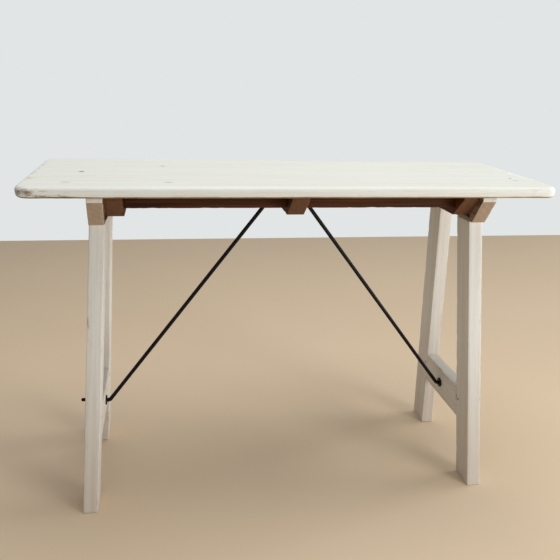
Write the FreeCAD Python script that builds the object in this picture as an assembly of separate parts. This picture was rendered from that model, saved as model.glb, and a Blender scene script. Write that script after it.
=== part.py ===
"""Folding trestle table: a plank top on cleats, two hinged A-frame trestles and two iron rods.

Millimetres.  +X runs along the top, +Y to the back, +Z up.  The origin is on the floor under the
middle of the top.  The right trestle and everything on it is built first, in a leaning frame whose
origin is the fold axis, and the left one is its mirror image.
"""
import FreeCAD, Part
import math
import os

from FreeCAD import Vector

os.makedirs("parts", exist_ok=True)

X_AXIS = Vector(1, 0, 0)
Y_AXIS = Vector(0, 1, 0)
Z_AXIS = Vector(0, 0, 1)
ORIGIN = Vector(0, 0, 0)

# ---- driving dimensions -------------------------------------------------------------------------
# top
TABLE_HEIGHT = 760.0
TOP_LENGTH = 1154.0
TOP_WIDTH = 420.0
TOP_THICKNESS = 24.0
TOP_CORNER_RADIUS = 30.0
TOP_EDGE_ROUND = 9.0
BOARD_SEAM_Y = 70.0
UNDERSIDE = TABLE_HEIGHT - TOP_THICKNESS

# cleats that run across the underside, and the aprons between them
CLEAT_END_STEP = 10.0
CENTRE_CLEAT_HALF_WIDTH = 19.8
CENTRE_CLEAT_DEPTH = 52.2
CENTRE_CLEAT_TOP_HALF_LENGTH = 183.3
CENTRE_CLEAT_FOOT_HALF_LENGTH = 122.0
END_CLEAT_INNER_X = 370.9
END_CLEAT_DEPTH = 54.0
END_CLEAT_TOP_HALF_LENGTH = 173.5
END_CLEAT_FOOT_HALF_LENGTH = 119.6
APRON_FACE_Y = 125.4
APRON_THICKNESS = 20.0
APRON_DEPTH = 36.2

# trestle boards
TRESTLE_THICKNESS = 33.4
TRESTLE_LEAN = math.degrees(math.atan(45.2 / 736.0))
RAIL_TOP_GAP = 0.5
RAIL_DEPTH = 69.7
RAIL_TOP_HALF_LENGTH = 187.7
RAIL_FOOT_HALF_LENGTH = 135.0
LEG_WIDTH = 69.9
LEG_OUTER_Y_TOP = 121.6
LEG_OUTER_Y_FOOT = 196.4
STRETCHER_BOTTOM = 151.0
STRETCHER_TOP = 229.0
TENON_THICKNESS = 10.4
LEG_TENON_WIDTH = 36.0
LEG_TENON_LENGTH = 20.0
STRETCHER_TENON_INSET = 9.0
STRETCHER_TENON_LENGTH = 28.0
PEG_RADIUS = 3.0
PEG_Y = 114.7
PEG_Z = 201.8

# fold axis and butt hinges
FOLD_AXIS_X = 411.2
FOLD_AXIS_Z = 678.5
FACE_GAP = 0.4
HINGE_Y = 92.0
HINGE_LENGTH = 60.0
HINGE_LEAF_HEIGHT = 40.0
HINGE_LEAF_THICKNESS = 2.0
KNUCKLE_RADIUS = 4.0
KNUCKLE_RELIEF_RADIUS = 4.4
KNUCKLE_COUNT = 5
KNUCKLE_GAP = 0.3
HINGE_PIN_RADIUS = 2.0
RUNNING_CLEARANCE = 0.05
HINGE_SCREW_RISE = 27.0
HINGE_SCREW_SPACING = 21.0
HINGE_SCREW_LENGTH = 20.0

# wood screws
SCREW_RADIUS = 2.0
SCREW_HEAD_RADIUS = 4.0
SCREW_HEAD_DEPTH = 2.0
CLEAT_SCREW_BITE = 16.0
CLEAT_SCREW_Y = (-50.0, 0.0, 50.0)
CENTRE_CLEAT_SCREW_Y = (-75.0, 75.0)
APRON_SCREW_X = (100.0, 290.0)

# iron rods, their brackets, and the bolts at their lower ends
ROD_RADIUS = 4.6
ROD_PLANE_Y = 5.3
ROD_PIVOT_X = 45.5
ROD_PIVOT_Z = 692.0
ROD_EYE_RADIUS = 7.0
ROD_EYE_WIDTH = 9.2
ROD_PIN_RADIUS = 2.5
ROD_END_STRAIGHT = 6.5
ROD_BEND_RADIUS = 9.0
ROD_TIP_GAP = 0.4
BRACKET_PLATE_THICKNESS = 3.0
BRACKET_PLATE_HALF_WIDTH = 14.0
BRACKET_PLATE_BOTTOM = 687.0
BRACKET_PLATE_TOP = 731.0
BRACKET_EAR_THICKNESS = 2.5
BRACKET_EAR_GAP = 0.3
BRACKET_SCREW_Z = (707.0, 723.0)
BRACKET_SCREW_LENGTH = 24.0
RIVET_HEAD_RADIUS = 4.0
RIVET_HEAD_HEIGHT = 1.6
BOLT_Z = 190.8
BOLT_RADIUS = 4.4
BOLT_REACH = 26.0
FLANGE_RADIUS = 12.0
FLANGE_THICKNESS = 3.0
WASHER_RADIUS = 11.0
WASHER_THICKNESS = 2.0
NUT_WIDTH = 15.0
NUT_THICKNESS = 7.0
NUT_GAP = 0.3

LEAN = math.radians(TRESTLE_LEAN)
FACE_OFFSET = FACE_GAP / 2
WIDE = 900.0


# ---- shape helpers ------------------------------------------------------------------------------
def polygon_prism(points, direction):
    """A solid swept along direction from the closed outline through points."""
    outline = Part.makePolygon(points + [points[0]])
    return Part.Face(outline).extrude(direction)


def cross_board(half_top, half_foot, top, foot, x_start, x_end):
    """A board across the table whose ends are stepped square at the top, then cut back below."""
    step = top - CLEAT_END_STEP
    outline = [(-half_foot, foot), (half_foot, foot), (half_top, step), (half_top, top),
               (-half_top, top), (-half_top, step)]
    points = [Vector(x_start, y, z) for y, z in outline]
    return polygon_prism(points, Vector(x_end - x_start, 0, 0))


def plate_across(outline):
    """A wide prism along X from a (y, z) outline, to be cut to a trestle's leaning thickness."""
    points = [Vector(0, y, z) for y, z in outline]
    return polygon_prism(points, Vector(WIDE, 0, 0))


def to_world(shape):
    """Carry a shape from the leaning frame (out, back, up the slope) to the right-hand trestle."""
    moved = shape.copy()
    moved.rotate(ORIGIN, Y_AXIS, -TRESTLE_LEAN)
    moved.translate(Vector(FOLD_AXIS_X, 0, FOLD_AXIS_Z))
    return moved


def world_point(out, back, up):
    """The world position of a point given in the leaning frame."""
    return Vector(FOLD_AXIS_X + out * math.cos(LEAN) - up * math.sin(LEAN), back,
                  FOLD_AXIS_Z + out * math.sin(LEAN) + up * math.cos(LEAN))


def leaning_slab(out_start, out_end):
    """Everything between two planes parallel to the right trestle's faces."""
    return to_world(Part.makeBox(out_end - out_start, WIDE, 2 * WIDE,
                                 Vector(out_start, -WIDE / 2, -WIDE)))


def mirrored(shape):
    """The same piece on the left half of the table."""
    return shape.mirror(ORIGIN, X_AXIS)


def countersunk_screw(head_point, direction, length):
    """A wood screw with its flat head at head_point, running along direction."""
    head = Part.makeCone(SCREW_HEAD_RADIUS, SCREW_RADIUS, SCREW_HEAD_DEPTH, head_point, direction)
    tip_length = 3 * SCREW_RADIUS
    shank = Part.makeCylinder(SCREW_RADIUS, length - tip_length, head_point, direction)
    tip_point = head_point + direction * (length - tip_length)
    tip = Part.makeCone(SCREW_RADIUS, SCREW_RADIUS / 4, tip_length, tip_point, direction)
    return head.fuse([shank, tip]).removeSplitter()


def cut_all(shape, tools):
    """The shape with every tool cut out of it."""
    return shape.cut(tools) if tools else shape


def save(name, shape):
    """Write one node."""
    shape.exportStep("parts/" + name + ".step")


def save_group(name, shapes):
    """Write identical loose pieces as one node."""
    save(name, Part.makeCompound(shapes))


# ---- screws that hold the cleats and aprons to the top ------------------------------------------
def screws_up(places, head_z):
    """Screws driven upwards into the top from head_z."""
    length = UNDERSIDE + CLEAT_SCREW_BITE - head_z
    return [countersunk_screw(Vector(x, y, head_z), Z_AXIS, length) for x, y in places]


END_CLEAT_SCREW_X = END_CLEAT_INNER_X + 17.0
right_cleat_screws = screws_up([(END_CLEAT_SCREW_X, y) for y in CLEAT_SCREW_Y],
                               UNDERSIDE - END_CLEAT_DEPTH)
left_cleat_screws = [mirrored(screw) for screw in right_cleat_screws]
centre_cleat_screws = screws_up([(0, y) for y in CENTRE_CLEAT_SCREW_Y],
                                UNDERSIDE - CENTRE_CLEAT_DEPTH)
APRON_MIDDLE_Y = APRON_FACE_Y - APRON_THICKNESS / 2
apron_screws = screws_up([(side * x, face * APRON_MIDDLE_Y) for side in (-1, 1)
                          for face in (-1, 1) for x in APRON_SCREW_X], UNDERSIDE - APRON_DEPTH)
top_screws = left_cleat_screws + centre_cleat_screws + right_cleat_screws + apron_screws


# ---- top ----------------------------------------------------------------------------------------
def make_top_boards():
    """Three boards glued edge to edge, rounded at the outer corners and edges."""
    slab = Part.makeBox(TOP_LENGTH, TOP_WIDTH, TOP_THICKNESS,
                        Vector(-TOP_LENGTH / 2, -TOP_WIDTH / 2, UNDERSIDE))
    upright = [edge for edge in slab.Edges
               if abs(edge.Vertexes[0].Z - edge.Vertexes[1].Z) > TOP_THICKNESS / 2]
    slab = slab.makeFillet(TOP_CORNER_RADIUS, upright)
    rim = [edge for edge in slab.Edges
           if abs(edge.BoundBox.ZMax - edge.BoundBox.ZMin) < TOP_THICKNESS / 2]
    slab = slab.makeFillet(TOP_EDGE_ROUND, rim)
    spans = {"top_board_front": (-TOP_WIDTH, -BOARD_SEAM_Y),
             "top_board_middle": (-BOARD_SEAM_Y, BOARD_SEAM_Y),
             "top_board_back": (BOARD_SEAM_Y, TOP_WIDTH)}
    for name, (near, far) in spans.items():
        strip = Part.makeBox(2 * TOP_LENGTH, far - near, 2 * TOP_THICKNESS,
                             Vector(-TOP_LENGTH, near, UNDERSIDE - TOP_THICKNESS / 2))
        save(name, cut_all(slab.common(strip), top_screws))


# ---- hinges, in the leaning frame ---------------------------------------------------------------
def knuckle_spans():
    """Start and length of each knuckle along the hinge, measured from its front end."""
    span = (HINGE_LENGTH - KNUCKLE_GAP * (KNUCKLE_COUNT - 1)) / KNUCKLE_COUNT
    return [(i * (span + KNUCKLE_GAP), span) for i in range(KNUCKLE_COUNT)]


def leaf_plate(hinge_y, side):
    """The flat of one leaf: side is -1 for the cleat's leaf and +1 for the rail's leaf."""
    inner = FACE_OFFSET if side > 0 else -FACE_OFFSET - HINGE_LEAF_THICKNESS
    return Part.makeBox(HINGE_LEAF_THICKNESS, HINGE_LENGTH,
                        HINGE_LEAF_HEIGHT - KNUCKLE_RELIEF_RADIUS,
                        Vector(inner, hinge_y - HINGE_LENGTH / 2, KNUCKLE_RELIEF_RADIUS))


def leaf_mortise(hinge_y, side):
    """The shallow recess for one leaf, open down to the fold axis for the webs of its knuckles."""
    inner = FACE_OFFSET if side > 0 else -FACE_OFFSET - HINGE_LEAF_THICKNESS
    return Part.makeBox(HINGE_LEAF_THICKNESS, HINGE_LENGTH, HINGE_LEAF_HEIGHT,
                        Vector(inner, hinge_y - HINGE_LENGTH / 2, 0))


def leaf_screws(hinge_y, side):
    """The screws of one leaf, with their heads flush with its face."""
    return [countersunk_screw(Vector(side * FACE_OFFSET, hinge_y + i * HINGE_SCREW_SPACING,
                                     HINGE_SCREW_RISE), X_AXIS * side, HINGE_SCREW_LENGTH)
            for i in (-1, 0, 1)]


def hinge_leaf(hinge_y, side):
    """A leaf with its own knuckles: the odd ones on the rail's leaf, the even on the cleat's."""
    leaf = leaf_plate(hinge_y, side)
    bore = HINGE_PIN_RADIUS + (RUNNING_CLEARANCE if side > 0 else 0)
    inner = FACE_OFFSET if side > 0 else -FACE_OFFSET - HINGE_LEAF_THICKNESS
    pieces = []
    for index, (start, span) in enumerate(knuckle_spans()):
        if (index % 2 == 1) == (side > 0):
            y_start = hinge_y - HINGE_LENGTH / 2 + start
            pieces.append(Part.makeCylinder(KNUCKLE_RADIUS, span, Vector(0, y_start, 0), Y_AXIS))
            pieces.append(Part.makeBox(HINGE_LEAF_THICKNESS, span, KNUCKLE_RELIEF_RADIUS + 1,
                                       Vector(inner, y_start, 0)))
    leaf = leaf.fuse(pieces).removeSplitter()
    pin_hole = Part.makeCylinder(bore, 2 * HINGE_LENGTH, Vector(0, hinge_y - HINGE_LENGTH, 0),
                                 Y_AXIS)
    return leaf.cut([pin_hole] + leaf_screws(hinge_y, side))


def hinge_pin(hinge_y):
    """The pin through one hinge's knuckles."""
    return Part.makeCylinder(HINGE_PIN_RADIUS, HINGE_LENGTH,
                             Vector(0, hinge_y - HINGE_LENGTH / 2, 0), Y_AXIS)


def knuckle_relief(hinge_y):
    """The round groove that the knuckles turn in."""
    return Part.makeCylinder(KNUCKLE_RELIEF_RADIUS, HINGE_LENGTH + 2,
                             Vector(0, hinge_y - HINGE_LENGTH / 2 - 1, 0), Y_AXIS)


HINGES = {"front": -HINGE_Y, "back": HINGE_Y}


def hinge_cutters(side):
    """What the hinges and their screws take out of the cleat (-1) or the rail (+1)."""
    tools = []
    for hinge_y in HINGES.values():
        tools.append(to_world(knuckle_relief(hinge_y)))
        tools.append(to_world(leaf_mortise(hinge_y, side)))
        tools.extend(to_world(screw) for screw in leaf_screws(hinge_y, side))
    return tools


def make_hinges():
    """Two butt hinges a side, each with two leaves and a pin."""
    for place, hinge_y in HINGES.items():
        cleat_leaf = to_world(hinge_leaf(hinge_y, -1))
        rail_leaf = to_world(hinge_leaf(hinge_y, 1))
        pin = to_world(hinge_pin(hinge_y))
        save("right_" + place + "_hinge_cleat_leaf", cleat_leaf)
        save("right_" + place + "_hinge_rail_leaf", rail_leaf)
        save("right_" + place + "_hinge_pin", pin)
        save("left_" + place + "_hinge_cleat_leaf", mirrored(cleat_leaf))
        save("left_" + place + "_hinge_rail_leaf", mirrored(rail_leaf))
        save("left_" + place + "_hinge_pin", mirrored(pin))
    for side, name in ((-1, "_cleat_hinge_screws"), (1, "_rail_hinge_screws")):
        screws = [to_world(screw) for hinge_y in HINGES.values()
                  for screw in leaf_screws(hinge_y, side)]
        save_group("right" + name, screws)
        save_group("left" + name, [mirrored(screw) for screw in screws])


# ---- rod brackets on the centre cleat -----------------------------------------------------------
def bracket_screws():
    """Two screws through the right bracket's plate into the centre cleat."""
    face_x = CENTRE_CLEAT_HALF_WIDTH + BRACKET_PLATE_THICKNESS
    return [countersunk_screw(Vector(face_x, ROD_PLANE_Y, z), -X_AXIS, BRACKET_SCREW_LENGTH)
            for z in BRACKET_SCREW_Z]


def rod_bracket():
    """A plate with two ears that the right rod's eye turns between."""
    plate = Part.makeBox(BRACKET_PLATE_THICKNESS, 2 * BRACKET_PLATE_HALF_WIDTH,
                         BRACKET_PLATE_TOP - BRACKET_PLATE_BOTTOM,
                         Vector(CENTRE_CLEAT_HALF_WIDTH, ROD_PLANE_Y - BRACKET_PLATE_HALF_WIDTH,
                                BRACKET_PLATE_BOTTOM))
    ear_start = ROD_EYE_WIDTH / 2 + BRACKET_EAR_GAP
    pieces = []
    for near in (ROD_PLANE_Y + ear_start, ROD_PLANE_Y - ear_start - BRACKET_EAR_THICKNESS):
        pieces.append(Part.makeBox(ROD_PIVOT_X - CENTRE_CLEAT_HALF_WIDTH, BRACKET_EAR_THICKNESS,
                                   ROD_EYE_RADIUS + ROD_PIVOT_Z - BRACKET_PLATE_BOTTOM,
                                   Vector(CENTRE_CLEAT_HALF_WIDTH, near, BRACKET_PLATE_BOTTOM)))
        pieces.append(Part.makeCylinder(ROD_EYE_RADIUS, BRACKET_EAR_THICKNESS,
                                        Vector(ROD_PIVOT_X, near, ROD_PIVOT_Z), Y_AXIS))
    bracket = plate.fuse(pieces).removeSplitter()
    return bracket.cut([rod_rivet()] + bracket_screws())


def rod_rivet():
    """The rivet through the bracket's ears and the rod's eye."""
    half = ROD_EYE_WIDTH / 2 + BRACKET_EAR_GAP + BRACKET_EAR_THICKNESS
    start = Vector(ROD_PIVOT_X, ROD_PLANE_Y - half, ROD_PIVOT_Z)
    end = Vector(ROD_PIVOT_X, ROD_PLANE_Y + half, ROD_PIVOT_Z)
    shank = Part.makeCylinder(ROD_PIN_RADIUS, 2 * half, start, Y_AXIS)
    heads = [Part.makeCone(RIVET_HEAD_RADIUS, RIVET_HEAD_RADIUS / 2, RIVET_HEAD_HEIGHT, end,
                           Y_AXIS),
             Part.makeCone(RIVET_HEAD_RADIUS, RIVET_HEAD_RADIUS / 2, RIVET_HEAD_HEIGHT, start,
                           -Y_AXIS)]
    return shank.fuse(heads).removeSplitter()


def turned_about_z(shape):
    """The left bracket's pieces are the right ones turned half round, to keep the rods apart."""
    turned = shape.copy()
    turned.rotate(ORIGIN, Z_AXIS, 180)
    return turned


def make_brackets():
    """The two brackets, back to back through the centre cleat, with rivets and screws."""
    bracket = rod_bracket()
    rivet = rod_rivet()
    screws = bracket_screws()
    save("right_rod_bracket", bracket)
    save("left_rod_bracket", turned_about_z(bracket))
    save("right_rod_rivet", rivet)
    save("left_rod_rivet", turned_about_z(rivet))
    save_group("right_bracket_screws", screws)
    save_group("left_bracket_screws", [turned_about_z(screw) for screw in screws])


# ---- cleats and aprons --------------------------------------------------------------------------
def make_cleats():
    """The centre cleat and the two end cleats that carry the hinges."""
    centre = cross_board(CENTRE_CLEAT_TOP_HALF_LENGTH, CENTRE_CLEAT_FOOT_HALF_LENGTH, UNDERSIDE,
                         UNDERSIDE - CENTRE_CLEAT_DEPTH, -CENTRE_CLEAT_HALF_WIDTH,
                         CENTRE_CLEAT_HALF_WIDTH)
    screws = bracket_screws()
    screws = screws + [turned_about_z(screw) for screw in screws]
    save("centre_cleat", centre.cut(centre_cleat_screws + screws))
    end = cross_board(END_CLEAT_TOP_HALF_LENGTH, END_CLEAT_FOOT_HALF_LENGTH, UNDERSIDE,
                      UNDERSIDE - END_CLEAT_DEPTH, END_CLEAT_INNER_X, FOLD_AXIS_X + 10)
    beyond_face = leaning_slab(-FACE_OFFSET, WIDE)
    end = end.cut([beyond_face] + hinge_cutters(-1) + right_cleat_screws)
    save("right_end_cleat", end)
    save("left_end_cleat", mirrored(end))


def make_aprons():
    """Four lengthwise strips between the cleats, front and back."""
    for name, face in (("front", -1), ("back", 1)):
        y_start = min(face * APRON_FACE_Y, face * (APRON_FACE_Y - APRON_THICKNESS))
        apron = Part.makeBox(END_CLEAT_INNER_X - CENTRE_CLEAT_HALF_WIDTH, APRON_THICKNESS,
                             APRON_DEPTH, Vector(CENTRE_CLEAT_HALF_WIDTH, y_start,
                                                 UNDERSIDE - APRON_DEPTH))
        apron = apron.cut(apron_screws)
        save(name + "_apron_right", apron)
        save(name + "_apron_left", mirrored(apron))


# ---- trestles -----------------------------------------------------------------------------------
LEG_TOP = UNDERSIDE - RAIL_TOP_GAP - RAIL_DEPTH
TRESTLE_INNER = FACE_OFFSET
TRESTLE_OUTER = FACE_OFFSET + TRESTLE_THICKNESS
TENON_INNER = (TRESTLE_INNER + TRESTLE_OUTER - TENON_THICKNESS) / 2


def leg_outer_y(z):
    """Distance from the middle plane to a leg's outer edge at height z."""
    return LEG_OUTER_Y_FOOT + (LEG_OUTER_Y_TOP - LEG_OUTER_Y_FOOT) * z / LEG_TOP


def leg_inner_y(z):
    """Distance from the middle plane to a leg's inner edge at height z."""
    return leg_outer_y(z) - LEG_WIDTH


def board_thickness():
    """The full thickness of the right trestle's boards."""
    return leaning_slab(TRESTLE_INNER, TRESTLE_OUTER)


def tenon_thickness():
    """The middle third of the thickness, which the tenons fill."""
    return leaning_slab(TENON_INNER, TENON_INNER + TENON_THICKNESS)


def leg_tenon(side):
    """The tenon on a leg's top; side is -1 for the front leg and +1 for the back leg."""
    middle = leg_outer_y(LEG_TOP) - LEG_WIDTH / 2
    half = LEG_TENON_WIDTH / 2
    outline = [(side * (middle - half), LEG_TOP), (side * (middle + half), LEG_TOP),
               (side * (middle + half), LEG_TOP + LEG_TENON_LENGTH),
               (side * (middle - half), LEG_TOP + LEG_TENON_LENGTH)]
    return plate_across(outline).common(tenon_thickness())


def stretcher_tenon(side):
    """The tenon on one end of the stretcher."""
    low = STRETCHER_BOTTOM + STRETCHER_TENON_INSET
    high = STRETCHER_TOP - STRETCHER_TENON_INSET
    outline = [(side * leg_inner_y(low), low),
               (side * (leg_inner_y(low) + STRETCHER_TENON_LENGTH), low),
               (side * (leg_inner_y(high) + STRETCHER_TENON_LENGTH), high),
               (side * leg_inner_y(high), high)]
    return plate_across(outline).common(tenon_thickness())


def peg(side):
    """The peg that locks a stretcher tenon in its leg."""
    up = (PEG_Z - FOLD_AXIS_Z) / math.cos(LEAN)
    return to_world(Part.makeCylinder(PEG_RADIUS, TRESTLE_THICKNESS,
                                      Vector(TRESTLE_INNER, side * PEG_Y, up), X_AXIS))


def leg(side):
    """One splayed leg, its foot cut flat to the floor."""
    outline = [(side * leg_inner_y(0), 0), (side * leg_outer_y(0), 0),
               (side * leg_outer_y(LEG_TOP), LEG_TOP), (side * leg_inner_y(LEG_TOP), LEG_TOP)]
    board = plate_across(outline).common(board_thickness())
    board = board.fuse(leg_tenon(side)).removeSplitter()
    return board.cut([stretcher_tenon(side), peg(side)])


def stretcher():
    """The board between the legs, with a tenon at each end and the rod's bolt hole."""
    outline = [(-leg_inner_y(STRETCHER_BOTTOM), STRETCHER_BOTTOM),
               (leg_inner_y(STRETCHER_BOTTOM), STRETCHER_BOTTOM),
               (leg_inner_y(STRETCHER_TOP), STRETCHER_TOP),
               (-leg_inner_y(STRETCHER_TOP), STRETCHER_TOP)]
    board = plate_across(outline).common(board_thickness())
    board = board.fuse([stretcher_tenon(-1), stretcher_tenon(1)]).removeSplitter()
    return board.cut([bolt(), peg(-1), peg(1)])


def rail():
    """The board across the trestle's top, hinged to the end cleat."""
    board = cross_board(RAIL_TOP_HALF_LENGTH, RAIL_FOOT_HALF_LENGTH, UNDERSIDE - RAIL_TOP_GAP,
                        LEG_TOP, 0, WIDE).common(board_thickness())
    return board.cut([leg_tenon(-1), leg_tenon(1)] + hinge_cutters(1))


def on_bolt(out_start, radius, length):
    """A round piece on the right bolt's axis, starting out_start from the fold axis."""
    return to_world(Part.makeCylinder(radius, length, Vector(out_start, ROD_PLANE_Y, BOLT_UP),
                                      X_AXIS))


BOLT_UP = (BOLT_Z - FOLD_AXIS_Z) / math.cos(LEAN)
BOLT_START = TRESTLE_INNER - FLANGE_THICKNESS
BOLT_END = TRESTLE_OUTER + BOLT_REACH


def bolt():
    """The threaded end of the rod, with its rounded outer tip."""
    shank = on_bolt(BOLT_START, BOLT_RADIUS, BOLT_END - BOLT_START - BOLT_RADIUS)
    tip = to_world(Part.makeSphere(BOLT_RADIUS, Vector(BOLT_END - BOLT_RADIUS, ROD_PLANE_Y,
                                                       BOLT_UP)))
    return shank.fuse(tip).removeSplitter()


def nut():
    """A hexagon nut that runs on the bolt."""
    start = TRESTLE_OUTER + WASHER_THICKNESS + NUT_GAP
    corner = NUT_WIDTH / 2 / math.cos(math.pi / 6)
    points = [Vector(start, ROD_PLANE_Y + corner * math.cos(i * math.pi / 3),
                     BOLT_UP + corner * math.sin(i * math.pi / 3)) for i in range(6)]
    body = to_world(polygon_prism(points, Vector(NUT_THICKNESS, 0, 0)))
    return body.cut(on_bolt(start - 1, BOLT_RADIUS + RUNNING_CLEARANCE, NUT_THICKNESS + 2))


def make_trestles():
    """Both trestles: the left boards mirror the right ones and its bolt is turned half round."""
    boards = {"trestle_rail": rail(), "front_leg": leg(-1), "back_leg": leg(1)}
    for name, shape in boards.items():
        save("right_" + name, shape)
        save("left_" + name, mirrored(shape))
    pegs = [peg(-1), peg(1)]
    save_group("right_trestle_pegs", pegs)
    save_group("left_trestle_pegs", [mirrored(shape) for shape in pegs])
    flange = on_bolt(BOLT_START, FLANGE_RADIUS, FLANGE_THICKNESS).cut(bolt())
    washer = on_bolt(TRESTLE_OUTER, WASHER_RADIUS, WASHER_THICKNESS).cut(bolt())
    ironwork = {"trestle_stretcher": stretcher(), "rod_bolt": bolt(), "rod_flange": flange,
                "rod_washer": washer, "rod_nut": nut()}
    for name, shape in ironwork.items():
        save("right_" + name, shape)
        save("left_" + name, turned_about_z(shape))


# ---- rods ---------------------------------------------------------------------------------------
def rod():
    """The right rod: an eye at the bracket, a long straight run, and a short bend to the bolt."""
    top = Vector(ROD_PIVOT_X, ROD_PLANE_Y, ROD_PIVOT_Z)
    tip = world_point(BOLT_START - ROD_TIP_GAP, ROD_PLANE_Y, BOLT_UP)
    corner = world_point(BOLT_START - ROD_TIP_GAP - ROD_END_STRAIGHT, ROD_PLANE_Y, BOLT_UP)
    down = (corner - top).normalize()
    out = (tip - corner).normalize()
    turn = down.getAngle(out)
    setback = ROD_BEND_RADIUS * math.tan(turn / 2)
    bend_start = corner - down * setback
    bend_end = corner + out * setback
    inward = (out - down).normalize()
    bend_middle = corner + inward * (ROD_BEND_RADIUS / math.cos(turn / 2) - ROD_BEND_RADIUS)
    path = Part.Wire([Part.LineSegment(top, bend_start).toShape(),
                      Part.Arc(bend_start, bend_middle, bend_end).toShape(),
                      Part.LineSegment(bend_end, tip).toShape()])
    section = Part.Wire([Part.makeCircle(ROD_RADIUS, top, down)])
    shaft = path.makePipeShell([section], True, True)
    eye = Part.makeCylinder(ROD_EYE_RADIUS, ROD_EYE_WIDTH,
                            top - Y_AXIS * (ROD_EYE_WIDTH / 2), Y_AXIS)
    pin_hole = Part.makeCylinder(ROD_PIN_RADIUS + RUNNING_CLEARANCE, 2 * ROD_EYE_WIDTH,
                                 top - Y_AXIS * ROD_EYE_WIDTH, Y_AXIS)
    return shaft.fuse(eye).removeSplitter().cut(pin_hole)


def make_rods():
    """The two rods lie in planes just either side of the middle, so that they can pass."""
    right = rod()
    save("right_rod", right)
    save("left_rod", turned_about_z(right))


make_top_boards()
save_group("left_cleat_screws", left_cleat_screws)
save_group("right_cleat_screws", right_cleat_screws)
save_group("centre_cleat_screws", centre_cleat_screws)
save_group("apron_screws", apron_screws)
make_cleats()
make_aprons()
make_hinges()
make_brackets()
make_trestles()
make_rods()
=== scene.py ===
"""Looks of the folding trestle table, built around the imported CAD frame.

Metres: +X along the top, +Y to the back, +Z up, the floor at z = 0.  Each board is made again from
its CAD outline with rounded, worn and slightly uneven edges, and carries three vertex attributes that
its material reads: grain (a place along, across and through the board), wear (how near an edge is)
and bare (where there is no whitewash).
"""
import math

import bmesh
import bpy
from mathutils import Matrix, Vector, noise


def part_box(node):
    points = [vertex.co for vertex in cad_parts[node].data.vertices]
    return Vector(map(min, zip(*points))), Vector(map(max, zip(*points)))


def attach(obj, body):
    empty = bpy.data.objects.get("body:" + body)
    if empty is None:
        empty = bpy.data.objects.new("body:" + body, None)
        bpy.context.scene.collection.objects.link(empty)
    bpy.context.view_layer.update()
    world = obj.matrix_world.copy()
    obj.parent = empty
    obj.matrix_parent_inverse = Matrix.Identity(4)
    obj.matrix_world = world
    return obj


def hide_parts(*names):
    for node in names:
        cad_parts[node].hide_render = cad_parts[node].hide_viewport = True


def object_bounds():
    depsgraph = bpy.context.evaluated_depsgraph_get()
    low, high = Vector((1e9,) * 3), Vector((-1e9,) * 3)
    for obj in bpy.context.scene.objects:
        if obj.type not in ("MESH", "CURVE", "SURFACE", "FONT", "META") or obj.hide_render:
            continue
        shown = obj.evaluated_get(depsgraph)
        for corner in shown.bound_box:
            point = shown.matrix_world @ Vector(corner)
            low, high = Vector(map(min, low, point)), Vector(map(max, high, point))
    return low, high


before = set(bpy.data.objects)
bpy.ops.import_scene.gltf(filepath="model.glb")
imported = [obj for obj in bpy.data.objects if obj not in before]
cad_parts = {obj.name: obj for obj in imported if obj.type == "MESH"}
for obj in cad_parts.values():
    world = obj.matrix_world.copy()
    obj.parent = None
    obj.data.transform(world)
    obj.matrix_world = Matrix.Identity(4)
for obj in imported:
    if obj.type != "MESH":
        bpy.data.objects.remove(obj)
cad_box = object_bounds()

MM = 0.001
SIDES = ("left", "right")
ALONG_X = Vector((1, 0, 0))
ALONG_Y = Vector((0, 1, 0))
ALONG_Z = Vector((0, 0, 1))


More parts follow.
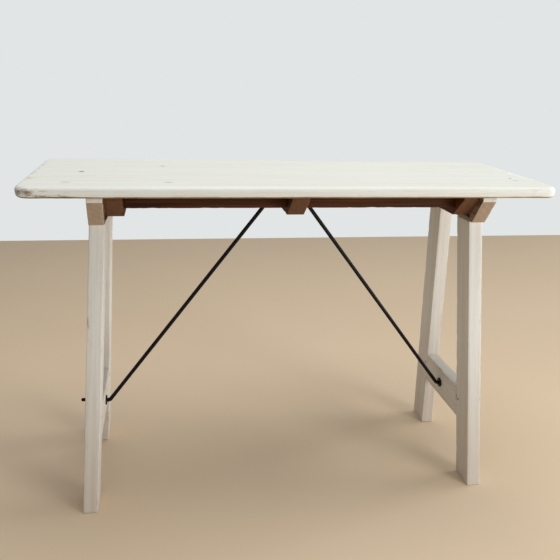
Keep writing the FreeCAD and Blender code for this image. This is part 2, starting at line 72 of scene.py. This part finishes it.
# ---- node graphs --------------------------------------------------------------------------------
class Graph:
    """A small helper that builds one material's node tree."""

    def __init__(self, name):
        self.material = bpy.data.materials.new(name)
        self.material.use_nodes = True
        self.tree = self.material.node_tree
        self.shader = self.tree.nodes["Principled BSDF"]

    def add(self, kind, settings=None, **inputs):
        """A node with its settings, and inputs given as values or as other nodes' sockets."""
        node = self.tree.nodes.new(kind)
        for key, value in (settings or {}).items():
            setattr(node, key, value)
        for key, value in inputs.items():
            self.feed(node.inputs[key.replace("_", " ")], value)
        return node

    def feed(self, socket, value):
        """Set a socket's value, or link another socket to it."""
        if isinstance(value, bpy.types.NodeSocket):
            self.tree.links.new(value, socket)
        else:
            socket.default_value = value

    def attribute(self, name):
        """The node that reads a mesh attribute."""
        return self.add("ShaderNodeAttribute", {"attribute_name": name})

    def scaled(self, vector, scale):
        """A vector stretched by a different number along each of its axes."""
        node = self.add("ShaderNodeMapping", {"vector_type": "POINT"}, Vector=vector)
        node.inputs["Scale"].default_value = scale
        return node.outputs["Vector"]

    def noise(self, vector, scale=1.0, detail=3.0, roughness=0.55, distortion=0.0):
        """Smooth noise between 0 and 1."""
        node = self.add("ShaderNodeTexNoise", Vector=vector, Scale=scale, Detail=detail,
                        Roughness=roughness, Distortion=distortion)
        return node.outputs["Fac"]

    def ramp(self, value, low, high, start=0.0, end=1.0):
        """A smooth step from start to end as value goes from low to high."""
        node = self.add("ShaderNodeMapRange", {"interpolation_type": "SMOOTHSTEP"}, Value=value)
        node.inputs["From Min"].default_value = low
        node.inputs["From Max"].default_value = high
        node.inputs["To Min"].default_value = start
        node.inputs["To Max"].default_value = end
        return node.outputs["Result"]

    def math(self, operation, first, second=0.0):
        """One arithmetic step."""
        node = self.add("ShaderNodeMath", {"operation": operation})
        self.feed(node.inputs[0], first)
        self.feed(node.inputs[1], second)
        return node.outputs["Value"]

    def weighted(self, first, first_share, second, second_share):
        """The sum of two values, each times its share."""
        return self.math("ADD", self.math("MULTIPLY", first, first_share),
                         self.math("MULTIPLY", second, second_share))

    def mix(self, factor, first, second):
        """Two colours mixed by a factor."""
        node = self.add("ShaderNodeMix", {"data_type": "RGBA"})
        self.feed(node.inputs["Factor"], factor)
        self.feed(node.inputs[6], first)
        self.feed(node.inputs[7], second)
        return node.outputs[2]

    def spot(self, place, centre, half_size):
        """1 inside an ellipsoid, fading to 0 at its border."""
        offset = self.add("ShaderNodeVectorMath", {"operation": "SUBTRACT"})
        self.feed(offset.inputs[0], place)
        offset.inputs[1].default_value = centre
        shape = self.scaled(offset.outputs["Vector"], [1 / size for size in half_size])
        reach = self.add("ShaderNodeVectorMath", {"operation": "LENGTH"})
        self.feed(reach.inputs[0], shape)
        return self.ramp(reach.outputs["Value"], 0.35, 1.0, 1.0, 0.0)

    def bump(self, height, strength, distance):
        """A normal from a height."""
        node = self.add("ShaderNodeBump", Height=height, Strength=strength, Distance=distance)
        return node.outputs["Normal"]

    def finish(self, colour, roughness, normal):
        """Feed the shader and return the material."""
        self.feed(self.shader.inputs["Base Color"], colour)
        self.feed(self.shader.inputs["Roughness"], roughness)
        self.feed(self.shader.inputs["Normal"], normal)
        return self.material


def rgb(red, green, blue):
    """A linear colour from 0 to 255 display values."""
    def linear(channel):
        channel = channel / 255
        return channel / 12.92 if channel <= 0.04045 else ((channel + 0.055) / 1.055) ** 2.4
    return (linear(red), linear(green), linear(blue), 1.0)


# ---- materials ----------------------------------------------------------------------------------
# how many features of each kind a metre holds, along, across and through a board
STREAK_RATE = (3.0, 120.0, 120.0)
FIGURE_RATE = (1.6, 28.0, 28.0)
PORE_RATE = (22.0, 900.0, 900.0)
PAINT_PATCH_RATE = (14.0, 60.0, 60.0)
PAINT_CLOUD_RATE = (5.0, 9.0, 9.0)
END_RING_RATE = (1.0, 1.0, 1.6)
END_PORE_RATE = (200.0, 700.0, 700.0)
SAW_MARK_RATE = (30.0, 260.0, 12.0)

# painted shade: the paint is darkened towards the feet, up to this height, and by this share at the
# floor
FOOT_SHADE_HEIGHT = 0.46
FOOT_SHADE_SHARE = 0.4


def wood_grain(graph, grain):
    """Long streaks, broad figure and fine pores, each from 0 to 1."""
    streaks = graph.noise(graph.scaled(grain, STREAK_RATE), detail=5.0, distortion=0.4)
    figure = graph.noise(graph.scaled(grain, FIGURE_RATE), detail=3.0, distortion=1.2)
    pores = graph.noise(graph.scaled(grain, PORE_RATE), detail=3.0, roughness=0.7)
    return streaks, figure, pores


def brown_colour(graph, streaks, figure, pores, dark, light):
    """Bare wood between a dark and a light brown, with darker pores."""
    tone = graph.weighted(streaks, 0.6, figure, 0.4)
    colour = graph.mix(graph.ramp(tone, 0.32, 0.68), dark, light)
    pore_share = graph.ramp(pores, 0.56, 0.72, 0.0, 0.45)
    pore_colour = tuple(channel * 0.45 for channel in dark[:3]) + (1.0,)
    return graph.mix(pore_share, colour, pore_colour)


def whitewashed_wood(name, paint, paint_thin, streak_share, worn_dark, worn_light, wear_reach,
                     knots=()):
    """Thin white paint over brown wood, rubbed through at the edges and left off where bare, with
    painted shade towards the floor.
    """
    graph = Graph(name)
    grain = graph.attribute("grain").outputs["Vector"]
    wear = graph.attribute("wear").outputs["Fac"]
    bare = graph.attribute("bare").outputs["Fac"]
    streaks, figure, pores = wood_grain(graph, grain)
    brown = brown_colour(graph, streaks, figure, pores, worn_dark, worn_light)

    # the paint itself, thinner along the grain's streaks and figure, with painted shade that darkens
    # it near the floor
    brushed = graph.mix(graph.ramp(streaks, 0.4, 0.68, 0.0, streak_share), paint, paint_thin)
    figure_share = graph.ramp(figure, 0.5, 0.75, 0.0, streak_share * 0.5)
    brushed = graph.mix(figure_share, brushed, paint_thin)
    place = graph.add("ShaderNodeTexCoord").outputs["Object"]
    height = graph.add("ShaderNodeSeparateXYZ", Vector=place).outputs["Z"]
    # painted shade: low down, the paint is mixed towards the light brown, most at the floor
    foot_shade = graph.ramp(height, 0.0, FOOT_SHADE_HEIGHT, FOOT_SHADE_SHARE, 0.0)
    brushed = graph.mix(foot_shade, brushed, worn_light)

    # where the wood shows: rubbed edges, places without paint, and single pores
    patches = graph.noise(graph.scaled(grain, PAINT_PATCH_RATE), detail=6.0, roughness=0.65)
    clouds = graph.noise(graph.scaled(grain, PAINT_CLOUD_RATE), detail=2.0)
    reach = graph.weighted(wear, wear_reach, clouds, 0.35)
    rubbed = graph.ramp(graph.weighted(reach, 1.0, patches, 0.9), 0.9, 1.15)
    flakes = graph.math("MULTIPLY", graph.ramp(patches, 0.32, 0.68), 0.5)
    unpainted = graph.ramp(graph.math("ADD", bare, flakes), 0.62, 0.86)
    thin_spots = graph.ramp(graph.weighted(pores, 1.0, figure, 0.25), 0.72, 0.84, 0.0, 0.3)
    open_wood = graph.math("MAXIMUM", graph.math("MAXIMUM", rubbed, unpainted), thin_spots)
    colour = graph.mix(open_wood, brushed, brown)

    relief = graph.weighted(streaks, 0.5, pores, 0.5)
    for centre, half_size in knots:
        mark = graph.math("MULTIPLY", graph.spot(place, centre, half_size),
                          graph.ramp(patches, 0.35, 0.6, 0.25, 0.75))
        colour = graph.mix(mark, colour, worn_dark)
        relief = graph.math("SUBTRACT", relief, graph.math("MULTIPLY", mark, 2.0))
    roughness = graph.ramp(relief, 0.2, 0.8, 0.5, 0.72)
    return graph.finish(colour, roughness, graph.bump(relief, 0.35, 0.6 * MM))


def bare_wood(name, dark, light):
    """Unpainted wood with long grain."""
    graph = Graph(name)
    graph.shader.inputs["Specular IOR Level"].default_value = 0.2
    grain = graph.attribute("grain").outputs["Vector"]
    wear = graph.attribute("wear").outputs["Fac"]
    streaks, figure, pores = wood_grain(graph, grain)
    colour = brown_colour(graph, streaks, figure, pores, dark, light)
    colour = graph.mix(graph.ramp(wear, 0.2, 1.0, 0.0, 0.25), colour, light)
    relief = graph.weighted(streaks, 0.4, pores, 0.6)
    return graph.finish(colour, graph.ramp(pores, 0.3, 0.8, 0.55, 0.8),
                        graph.bump(relief, 0.45, 0.7 * MM))


def end_grain_wood(name, dark, light):
    """A sawn end: dull wood with saw marks, soft rings and small pores."""
    graph = Graph(name)
    grain = graph.attribute("grain").outputs["Vector"]
    wear = graph.attribute("wear").outputs["Fac"]
    rings = graph.add("ShaderNodeTexWave", {"wave_type": "RINGS", "rings_direction": "X"},
                      Vector=graph.scaled(grain, END_RING_RATE), Scale=18.0, Distortion=7.0,
                      Detail=4.0).outputs["Fac"]
    pores = graph.noise(graph.scaled(grain, END_PORE_RATE), detail=4.0, roughness=0.7)
    saw_marks = graph.noise(graph.scaled(grain, SAW_MARK_RATE), detail=3.0)
    relief = graph.math("ADD", pores, saw_marks)
    tone = graph.weighted(rings, 0.07, relief, 0.46)
    colour = graph.mix(graph.ramp(tone, 0.25, 0.75), dark, light)
    colour = graph.mix(graph.ramp(wear, 0.3, 1.0, 0.0, 0.35), colour, light)
    return graph.finish(colour, graph.ramp(tone, 0.2, 0.8, 0.85, 0.65),
                        graph.bump(relief, 0.4, 0.5 * MM))


def metal(name, dark, light, metallic, rough_low, rough_high, bump_scale, bump_depth):
    """Iron or steel with an uneven surface and a slightly mottled colour."""
    graph = Graph(name)
    place = graph.add("ShaderNodeTexCoord").outputs["Object"]
    mottle = graph.noise(place, scale=bump_scale * 0.6, detail=5.0, roughness=0.6)
    hammer = graph.noise(place, scale=bump_scale, detail=2.0)
    fine = graph.noise(place, scale=bump_scale * 12.0, detail=2.0)
    colour = graph.mix(graph.ramp(mottle, 0.4, 0.75), dark, light)
    graph.shader.inputs["Metallic"].default_value = metallic
    graph.shader.inputs["Specular IOR Level"].default_value = 0.3
    relief = graph.weighted(hammer, 0.8, fine, 0.2)
    return graph.finish(colour, graph.ramp(mottle, 0.3, 0.7, rough_low, rough_high),
                        graph.bump(relief, 0.5, bump_depth))


# small knots in the top: the middle of each, and its half size along each axis
TOP_KNOTS = (
    ((-0.468, -0.007, 0.760), (0.009, 0.013, 0.006)),
    ((-0.484, -0.149, 0.760), (0.016, 0.004, 0.006)),
    ((-0.561, -0.100, 0.760), (0.008, 0.004, 0.008)),
    ((-0.569, -0.039, 0.759), (0.006, 0.005, 0.008)),
    ((-0.290, 0.085, 0.760), (0.009, 0.007, 0.006)),
    ((-0.277, -0.149, 0.760), (0.014, 0.004, 0.006)),
    ((0.523, -0.079, 0.760), (0.005, 0.007, 0.006)),
    ((0.519, -0.111, 0.760), (0.012, 0.003, 0.006)),
)
TOP_WASH = whitewashed_wood("top_whitewash", paint=rgb(243, 243, 236),
                            paint_thin=rgb(234, 233, 219), streak_share=0.8,
                            worn_dark=rgb(122, 104, 74), worn_light=rgb(182, 166, 134),
                            wear_reach=0.34, knots=TOP_KNOTS)
TRESTLE_WASH = whitewashed_wood("trestle_whitewash", paint=rgb(237, 235, 228),
                                paint_thin=rgb(220, 211, 193), streak_share=0.5,
                                worn_dark=rgb(96, 72, 50), worn_light=rgb(160, 132, 100),
                                wear_reach=0.24)
BROWN_WOOD = bare_wood("brown_wood", rgb(48, 20, 2), rgb(96, 50, 16))
PEG_WOOD = bare_wood("peg_wood", rgb(52, 34, 20), rgb(84, 60, 40))
RAIL_END = end_grain_wood("rail_end_grain", rgb(160, 138, 116), rgb(188, 168, 146))
CLEAT_END = end_grain_wood("cleat_end_grain", rgb(88, 52, 26), rgb(110, 70, 40))
IRON = metal("black_iron", rgb(10, 9, 9), rgb(26, 23, 21), metallic=0.3, rough_low=0.45,
             rough_high=0.66, bump_scale=200.0, bump_depth=0.15 * MM)
HINGE_STEEL = metal("hinge_steel", rgb(62, 52, 42), rgb(98, 86, 72), metallic=0.8, rough_low=0.35,
                    rough_high=0.6, bump_scale=400.0, bump_depth=0.15 * MM)
SCREW_STEEL = metal("screw_steel", rgb(104, 98, 88), rgb(148, 140, 126), metallic=0.9,
                    rough_low=0.3, rough_high=0.5, bump_scale=600.0, bump_depth=0.1 * MM)


# ---- meshes and objects -------------------------------------------------------------------------
def new_object(name, data):
    """An object in the scene that shows a mesh, a lamp or a camera."""
    item = bpy.data.objects.new(name, data)
    bpy.context.scene.collection.objects.link(item)
    return item


def mesh_from(shape, name):
    """A mesh of the edited shape, which is then freed."""
    mesh = bpy.data.meshes.new(name)
    shape.to_mesh(mesh)
    shape.free()
    return mesh


def cad_shape(node):
    """A CAD node's own surface, ready to edit."""
    shape = bmesh.new()
    shape.from_mesh(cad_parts[node].data)
    bmesh.ops.recalc_face_normals(shape, faces=shape.faces)
    return shape


def hand_over(piece, body, node):
    """Parent a piece to its body's empty and hide the CAD node it replaces."""
    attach(piece, body)
    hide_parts(node)


# ---- boards -------------------------------------------------------------------------------------
# an edge is rounded if it turns by more than SHARP_ANGLE, and isn't an edge below FLAT_ANGLE
SHARP_ANGLE = 20.0
FLAT_ANGLE = 0.8
EDGE_SEGMENTS = 3
# wear grows with how sharply the surface turns, and then spreads from vertex to vertex
TURN_TO_WEAR = 40
WEAR_SPREAD = 2
WEAR_KEPT = 0.97
WEAR_PASSED_ON = 0.92
SWELLS_PER_METRE = 14.0
NICKS_PER_METRE = 70.0
NICK_THRESHOLD = 0.15
POCKET_ROOM = 0.5 * MM


def outline_of(nodes, is_outline_point=None):
    """The convex outline of one or more CAD nodes, without their holes, recesses and tenons."""
    shape = bmesh.new()
    for node in nodes:
        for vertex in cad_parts[node].data.vertices:
            if is_outline_point is None or is_outline_point(vertex.co):
                shape.verts.new(vertex.co)
    bmesh.ops.convex_hull(shape, input=shape.verts)
    loose = [vertex for vertex in shape.verts if not vertex.link_faces]
    bmesh.ops.delete(shape, geom=loose, context="VERTS")
    bmesh.ops.dissolve_limit(shape, angle_limit=math.radians(FLAT_ANGLE), verts=shape.verts,
                             edges=shape.edges)
    bmesh.ops.recalc_face_normals(shape, faces=shape.faces)
    return shape


def slice_across(shape, direction, spacing, start=-math.inf, end=math.inf):
    """Cut the surface between start and end into strips of about spacing, square to direction."""
    reaches = [vertex.co.dot(direction) for vertex in shape.verts]
    low, high = min(reaches), max(reaches)
    count = max(1, round((high - low) / spacing))
    for index in range(1, count):
        reach = low + (high - low) * index / count
        if start < reach < end:
            everything = shape.verts[:] + shape.edges[:] + shape.faces[:]
            bmesh.ops.bisect_plane(shape, geom=everything, plane_co=direction * reach,
                                   plane_no=direction, dist=1e-7)


def round_edges(shape, width, sharp_angle):
    """Round every edge that turns more than sharp_angle."""
    sharp = [edge for edge in shape.edges
             if len(edge.link_faces) == 2
             and math.degrees(edge.calc_face_angle()) > sharp_angle]
    bmesh.ops.bevel(shape, geom=sharp, offset=width, offset_type="OFFSET",
                    segments=EDGE_SEGMENTS, profile=0.5, affect="EDGES", clamp_overlap=True)


def edge_wear(shape):
    """How sharply the surface turns at each vertex, spread to its neighbours, from 0 to 1."""
    wear = []
    for vertex in shape.verts:
        normals = [face.normal for face in vertex.link_faces]
        turn = max((1 - normals[0].dot(other) for other in normals[1:]), default=0.0)
        wear.append(min(1.0, turn * TURN_TO_WEAR))
    for _ in range(WEAR_SPREAD):
        smoothed = []
        for vertex in shape.verts:
            near = [wear[edge.other_vert(vertex).index] for edge in vertex.link_edges]
            passed_on = sum(near) / len(near) * WEAR_PASSED_ON
            smoothed.append(max(wear[vertex.index] * WEAR_KEPT, passed_on))
        wear = smoothed
    return wear


def roughen(shape, wear, seed, flat_depth, edge_depth):
    """Sink the surface by a little, most at the edges, so that it looks hand planed and used."""
    shape.normal_update()
    moves = []
    for vertex in shape.verts:
        swell = 0.5 + 0.5 * noise.noise(vertex.co * SWELLS_PER_METRE + seed)
        nick = max(0.0, noise.noise(vertex.co * NICKS_PER_METRE + seed) - NICK_THRESHOLD)
        depth = flat_depth * swell + edge_depth * wear[vertex.index] * nick
        moves.append(vertex.normal * -depth)
    for vertex, move in zip(shape.verts, moves):
        vertex.co += move


def add_attribute(mesh, name, kind, values):
    """Store one value for each vertex."""
    layer = mesh.attributes.new(name, kind, "POINT")
    key = "vector" if kind == "FLOAT_VECTOR" else "value"
    layer.data.foreach_set(key, values)


def make_board(name, node, body, materials, along, is_outline_point=None, rounding=2.0,
               spacing=8.0, bareness=None, wear_share=None, face_material=None,
               round_angle=SHARP_ANGLE, flat_depth=0.25, edge_depth=2.2, pockets=()):
    """One wooden piece with rounded and worn edges, in place of its CAD node.

    along is the direction of the grain, or None for the direction of the longest edge.  rounding,
    spacing, flat_depth and edge_depth are in millimetres.
    """
    shape = outline_of([node], is_outline_point)
    along = along or longest_edge(shape)
    through = ALONG_Y if abs(along.dot(ALONG_Y)) < 0.5 else ALONG_Z
    across = along.cross(through).normalized()
    through = across.cross(along).normalized()
    round_edges(shape, rounding * MM, round_angle)
    for direction in (along, across, through):
        slice_across(shape, direction, spacing * MM)
    shape.verts.index_update()
    shape.normal_update()
    wear = edge_wear(shape)
    if wear_share:
        wear = [value * wear_share(vertex) for value, vertex in zip(wear, shape.verts)]
    # the seed comes from the names, so that the boards differ in grain and wear
    seed = Vector((sum(map(ord, name)) % 97, len(name) * 3.7, len(node) * 1.9))
    places = []
    for vertex in shape.verts:
        place = Vector((vertex.co.dot(along), vertex.co.dot(across), vertex.co.dot(through)))
        places.extend(place + seed * 0.37)
    bare = [bareness(vertex) if bareness else 0.0 for vertex in shape.verts]
    if face_material:
        for face in shape.faces:
            face.material_index = face_material(face)
    roughen(shape, wear, seed, flat_depth * MM, edge_depth * MM)
    mesh = mesh_from(shape, name)
    add_attribute(mesh, "wear", "FLOAT", wear)
    add_attribute(mesh, "bare", "FLOAT", bare)
    add_attribute(mesh, "grain", "FLOAT_VECTOR", places)
    for material in materials:
        mesh.materials.append(material)
    mesh.shade_smooth()
    piece = new_object(name, mesh)
    for pocket in pockets:
        cut_pocket(piece, pocket)
    hand_over(piece, body, node)


def middle_of(vertices):
    """The mean place of some vertices."""
    return sum((vertex.co for vertex in vertices), Vector()) / len(vertices)


def longest_edge(shape):
    """The direction of the outline's longest edge, pointing up."""
    edge = max(shape.edges, key=lambda item: item.calc_length())
    direction = (edge.verts[1].co - edge.verts[0].co).normalized()
    return direction if direction.z > 0 else -direction


def cut_pocket(piece, nodes):
    """Recess the parts of a hinge into a board, with a hair of room all round."""
    shape = outline_of(nodes)
    bmesh.ops.triangulate(shape, faces=shape.faces)
    middle = middle_of(shape.verts)
    for vertex in shape.verts:
        vertex.co += (vertex.co - middle).normalized() * POCKET_ROOM
    cutter = new_object("cutter", mesh_from(shape, "cutter"))
    cut = piece.modifiers.new("pocket", "BOOLEAN")
    cut.operation = "DIFFERENCE"
    cut.solver = "MANIFOLD"
    cut.object = cutter
    bpy.context.view_layer.update()
    evaluated = piece.evaluated_get(bpy.context.evaluated_depsgraph_get())
    mesh = bpy.data.meshes.new_from_object(evaluated)
    mesh.name = piece.name
    piece.modifiers.clear()
    piece.data = mesh
    bpy.data.objects.remove(cutter)


# the trestles lean outwards by LEAN_RUN over a height of LEAN_RISE, in millimetres
LEAN_RISE = 736.0
LEAN_RUN = 45.2
OUTWARD = Vector((LEAN_RISE, 0, LEAN_RUN)).normalized()


def outward_of(side):
    """The direction square to a trestle's faces, pointing away from the table."""
    return Vector((OUTWARD.x if side == "right" else -OUTWARD.x, 0, OUTWARD.z))


def on_board_faces(node, outward):
    """A test that keeps a board's two outer faces and drops the tenons between them."""
    reaches = [vertex.co.dot(outward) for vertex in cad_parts[node].data.vertices]
    low, high = min(reaches), max(reaches)
    margin = 0.05 * MM

    def is_outline_point(place):
        reach = place.dot(outward)
        return reach < low + margin or reach > high - margin
    return is_outline_point


# ---- the top ------------------------------------------------------------------------------------
SEAM_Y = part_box("top_board_middle")[1].y
SEAM_REACH = 5 * MM
WORN_CORNER = Vector((cad_box[0].x + 25 * MM, cad_box[0].y, cad_box[1].z - 14 * MM))
WORN_CORNER_REACH = 120 * MM
WORN_CORNER_BARENESS = 0.68


def top_bareness(vertex):
    """No paint on the underside, and little on the edge near the worn corner."""
    underside = min(1.0, max(0.0, (-vertex.normal.z - 0.45) * 4))
    near_corner = max(0.0, 1.0 - (vertex.co - WORN_CORNER).length / WORN_CORNER_REACH)
    on_edge = 1.0 - max(0.0, vertex.normal.z)
    return max(underside, near_corner * on_edge * WORN_CORNER_BARENESS)


def top_wear_share(vertex):
    """The seams between planks are filled with paint, so they show no wear."""
    return 0.0 if abs(abs(vertex.co.y) - SEAM_Y) < SEAM_REACH else 1.0


def make_top():
    """Three planks, with a fine groove at each seam."""
    for place in ("front", "middle", "back"):
        node = "top_board_" + place
        make_board(place + "_plank", node, "tabletop", [TOP_WASH], ALONG_X,
                   rounding=0.25, spacing=9.0, bareness=top_bareness, wear_share=top_wear_share,
                   round_angle=60.0, edge_depth=2.4)


# ---- cleats and aprons --------------------------------------------------------------------------
def end_face_material(face):
    """Material 1 for faces that look along the board's length, 0 for the rest."""
    return 1 if abs(face.normal.y) > 0.5 else 0


def make_underframe():
    """Brown cleats across the top and aprons along it."""
    make_board("centre_crosspiece", "centre_cleat", "tabletop",
               [BROWN_WOOD, CLEAT_END], ALONG_Y, face_material=end_face_material)
    for side in SIDES:
        leaves = [[side + "_" + place + "_hinge_cleat_leaf"] for place in ("front", "back")]
        make_board(side + "_crosspiece", side + "_end_cleat", "tabletop",
                   [BROWN_WOOD, CLEAT_END], ALONG_Y, face_material=end_face_material,
                   pockets=leaves)
        for place in ("front", "back"):
            node = place + "_apron_" + side
            make_board(place + "_strip_" + side, node, "tabletop", [BROWN_WOOD],
                       ALONG_X, rounding=1.5)


# ---- trestles -----------------------------------------------------------------------------------
def make_trestle(side):
    """A rail, two legs and a stretcher, whitewashed except inside the rail and on its ends."""
    outward = outward_of(side)

    def rail_bareness(vertex):
        """No paint on the face that looks inwards."""
        return 1.0 if vertex.normal.dot(outward) < -0.7 else 0.0

    def rail_face_material(face):
        """Material 1 on the parts of the ends that are cut back, 0 on the rest."""
        is_cut_back = abs(face.normal.y) > 0.5 and face.normal.z < -0.55
        return 1 if is_cut_back else 0

    rail = side + "_trestle_rail"
    hinges = [[side + "_" + place + leaf for leaf in ("_hinge_rail_leaf", "_hinge_cleat_leaf")]
              for place in ("front", "back")]
    make_board(side + "_rail_board", rail, side + "_trestle",
               [TRESTLE_WASH, RAIL_END], ALONG_Y, on_board_faces(rail, outward),
               bareness=rail_bareness, face_material=rail_face_material, pockets=hinges)
    for part in ("front_leg", "back_leg"):
        node = side + "_" + part
        make_board(node + "_board", node, side + "_trestle",
                   [TRESTLE_WASH], None, on_board_faces(node, outward))
    stretcher = side + "_trestle_stretcher"
    make_board(side + "_stretcher_board", stretcher, side + "_trestle",
               [TRESTLE_WASH], ALONG_Y, on_board_faces(stretcher, outward))


# ---- ironwork -----------------------------------------------------------------------------------
ROD_SLICE = 5 * MM
ROD_SWELLS_PER_METRE = 24.0
ROD_SWELL_MEAN = 0.05 * MM
ROD_SWELL_RANGE = 0.12 * MM
THREAD_PITCH = 1.25 * MM
THREAD_DEPTH = 0.55 * MM
THREAD_SLICES_PER_TURN = 5
THREAD_TO_NUT = 0.4 * MM
THREAD_TO_TIP = 4.0 * MM


def make_iron(name, shape, body, node, sharp_angle):
    """A black iron piece of the edited shape, in place of its CAD node."""
    mesh = mesh_from(shape, name)
    mesh.materials.append(IRON)
    mesh.shade_smooth()
    mesh.set_sharp_from_angle(angle=math.radians(sharp_angle))
    hand_over(new_object(name, mesh), body, node)


def make_rod(side):
    """A forged rod: its surface swells and dips slightly along its length."""
    node = side + "_rod"
    shape = cad_shape(node)
    slice_across(shape, ALONG_Z, ROD_SLICE)
    slice_across(shape, ALONG_X, ROD_SLICE)
    shape.normal_update()
    swells = [ROD_SWELL_MEAN + ROD_SWELL_RANGE * noise.noise(vertex.co * ROD_SWELLS_PER_METRE)
              for vertex in shape.verts]
    for vertex, swell in zip(shape.verts, swells):
        vertex.co += vertex.normal * swell
    make_iron(side + "_forged_rod", shape, node, node, 40)


def make_bolt(side):
    """The bolt's bare end carries a thread, from the nut to just short of its round tip."""
    node = side + "_rod_bolt"
    outward = outward_of(side)
    upward = ALONG_Y.cross(outward)
    shape = cad_shape(node)
    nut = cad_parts[side + "_rod_nut"].data
    start = max(vertex.co.dot(outward) for vertex in nut.vertices) + THREAD_TO_NUT
    end = max(vertex.co.dot(outward) for vertex in shape.verts) - THREAD_TO_TIP
    slice_across(shape, outward, THREAD_PITCH / THREAD_SLICES_PER_TURN, start, end)
    tube = [vertex for vertex in shape.verts if start < vertex.co.dot(outward) < end]
    middle = middle_of(tube)
    for vertex in tube:
        reach = vertex.co.dot(outward)
        offset = vertex.co - middle
        offset -= outward * offset.dot(outward)
        turn = math.atan2(offset.dot(upward), offset.dot(ALONG_Y)) / math.tau
        phase = (reach / THREAD_PITCH + turn) % 1.0
        fade = min(1.0, (reach - start) / THREAD_PITCH, (end - reach) / THREAD_PITCH)
        vertex.co -= offset.normalized() * THREAD_DEPTH * abs(2 * phase - 1) * fade
    make_iron(side + "_threaded_bolt", shape, side + "_trestle", node, 35)


# ---- carried-over CAD pieces --------------------------------------------------------------------
def paint_node(node, material):
    """Give a CAD node its material."""
    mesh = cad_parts[node].data
    mesh.materials.clear()
    mesh.materials.append(material)


def paint_carried_over():
    """The hinges, screws, pegs and the rest of the ironwork keep their CAD shapes."""
    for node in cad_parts:
        if "screws" in node:
            paint_node(node, SCREW_STEEL)
        elif "hinge" in node:
            paint_node(node, HINGE_STEEL)
        elif "rod" in node:
            paint_node(node, IRON)
        elif "pegs" in node:
            paint_node(node, PEG_WOOD)


# ---- stage, lights and camera -------------------------------------------------------------------
FLOOR_HALF_SIZE = (3.6, 2.38)
SURROUND_COLOUR = (0.96, 0.98, 1.0, 1.0)
SURROUND_STRENGTH = 0.32
BACKDROP_COLOUR = rgb(226, 229, 229)
# the camera stands at CAMERA_PLACE; its right and up directions are unit vectors, its lens is in
# millimetres for a sensor 36 mm wide
CAMERA_PLACE = Vector((-0.2803, -1.5784, 0.9989))
CAMERA_RIGHT = Vector((0.98666, -0.16014, 0.02946))
CAMERA_UP = Vector((0.02051, 0.30170, 0.95318))
CAMERA_LENS = 43.67


def make_floor():
    """A plain pale floor under the table."""
    shape = bmesh.new()
    bmesh.ops.create_grid(shape, x_segments=8, y_segments=6, size=1.0)
    for vertex in shape.verts:
        vertex.co.x *= FLOOR_HALF_SIZE[0]
        vertex.co.y *= FLOOR_HALF_SIZE[1]
    mesh = mesh_from(shape, "floor")
    floor = new_object("floor", mesh)
    graph = Graph("pale_floor")
    place = graph.add("ShaderNodeTexCoord").outputs["Object"]
    cloud = graph.noise(place, scale=1.5, detail=2.0)
    colour = graph.mix(cloud, rgb(222, 197, 165), rgb(227, 204, 174))
    mesh.materials.append(graph.finish(colour, 0.6, graph.bump(cloud, 0.05, 1.0 * MM)))


def area_light(name, place, target, width, height, power, colour):
    """A soft rectangular lamp that faces target."""
    lamp = bpy.data.lights.new(name, "AREA")
    lamp.shape = "RECTANGLE"
    lamp.size = width
    lamp.size_y = height
    lamp.energy = power
    lamp.color = colour
    holder = new_object(name, lamp)
    holder.location = place
    holder.rotation_euler = (Vector(target) - Vector(place)).to_track_quat("-Z", "Y").to_euler()


def make_surround():
    """A pale backdrop that lights the table only dimly."""
    world = bpy.data.worlds.new("surround")
    world.use_nodes = True
    tree = world.node_tree
    background = tree.nodes["Background"]
    background.inputs["Color"].default_value = SURROUND_COLOUR
    background.inputs["Strength"].default_value = SURROUND_STRENGTH
    backdrop = tree.nodes.new("ShaderNodeBackground")
    backdrop.inputs["Color"].default_value = BACKDROP_COLOUR
    path = tree.nodes.new("ShaderNodeLightPath")
    choice = tree.nodes.new("ShaderNodeMixShader")
    tree.links.new(path.outputs["Is Camera Ray"], choice.inputs["Fac"])
    tree.links.new(background.outputs["Background"], choice.inputs[1])
    tree.links.new(backdrop.outputs["Background"], choice.inputs[2])
    tree.links.new(choice.outputs["Shader"], tree.nodes["World Output"].inputs["Surface"])
    bpy.context.scene.world = world


def make_lights():
    """A wide overhead light, a near key from the front right and a softer one from the right."""
    area_light("overhead", (0.2, 0.1, 3.1), target=(0, 0, 0.5), width=2.6, height=2.2,
               power=43.0, colour=(1.0, 1.0, 0.98))
    area_light("key", (2.0, -2.3, 1.0), target=(0.3, -0.1, 0.4), width=1.2, height=1.2,
               power=38.0, colour=(0.94, 0.97, 1.0))
    area_light("side", (5.2, 0.6, 1.5), target=(0, 0, 0.5), width=2.6, height=1.8,
               power=118.0, colour=(0.97, 0.99, 1.0))
    bpy.context.scene.view_settings.view_transform = "Standard"


def make_camera():
    """The camera looks a little down and to the right, with a slight roll."""
    lens = bpy.data.cameras.new("camera")
    lens.sensor_width = 36.0
    lens.lens = CAMERA_LENS
    lens.clip_end = 50.0
    camera = new_object("camera", lens)
    backward = CAMERA_RIGHT.cross(CAMERA_UP)
    turn = Matrix((CAMERA_RIGHT, CAMERA_UP, backward)).transposed()
    camera.matrix_world = Matrix.Translation(CAMERA_PLACE) @ turn.to_4x4()
    bpy.context.scene.camera = camera


make_top()
make_underframe()
for side in SIDES:
    make_trestle(side)
    make_rod(side)
    make_bolt(side)
paint_carried_over()
make_floor()
make_surround()
make_lights()
make_camera()
